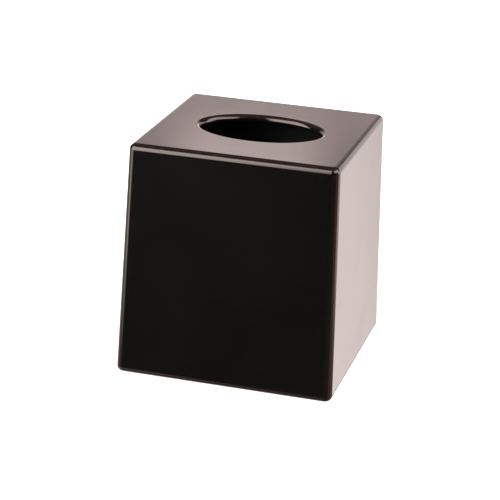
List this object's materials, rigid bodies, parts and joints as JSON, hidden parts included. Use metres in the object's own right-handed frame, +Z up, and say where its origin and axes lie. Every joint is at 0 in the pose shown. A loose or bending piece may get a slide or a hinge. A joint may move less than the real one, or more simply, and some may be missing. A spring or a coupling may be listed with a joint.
{
  "type": "napkin dispenser",
  "caption": "Cube-shaped gloss plastic napkin dispenser cover with leaning sides and an oval mouth in its top, lifted off a ribbed magnetic base on rubber feet.",
  "frame": {"origin": "on the standing surface, under the middle of the dispenser", "axes": "+Z up, -Y towards the front, +X to the right seen from the front, along the mouth's length"},
  "size_m": [0.1298, 0.1298, 0.139],
  "materials": {
    "cover_gloss_plastic": "polished, very dark brown",
    "base_matte_plastic": "fine moulded texture",
    "foot_rubber": "matte",
    "magnet_nickel": "nickel plated"
  },
  "bodies": {
    "base": {"base_plate": "base_matte_plastic", "foot_front_left": "foot_rubber", "foot_front_right": "foot_rubber", "foot_rear_left": "foot_rubber", "foot_rear_right": "foot_rubber", "base_magnet_front_left": "magnet_nickel", "base_magnet_front_right": "magnet_nickel", "base_magnet_rear_left": "magnet_nickel", "base_magnet_rear_right": "magnet_nickel"},
    "cover": {"cover_shell": "cover_gloss_plastic", "cover_magnet_front_left": "magnet_nickel", "cover_magnet_front_right": "magnet_nickel", "cover_magnet_rear_left": "magnet_nickel", "cover_magnet_rear_right": "magnet_nickel"}
  },
  "joints": [
    {"name": "cover_lift", "type": "slide", "parent": "base", "child": "cover", "axis": [0, 0, 1], "range_m": [0, 0.16]}
  ]
}
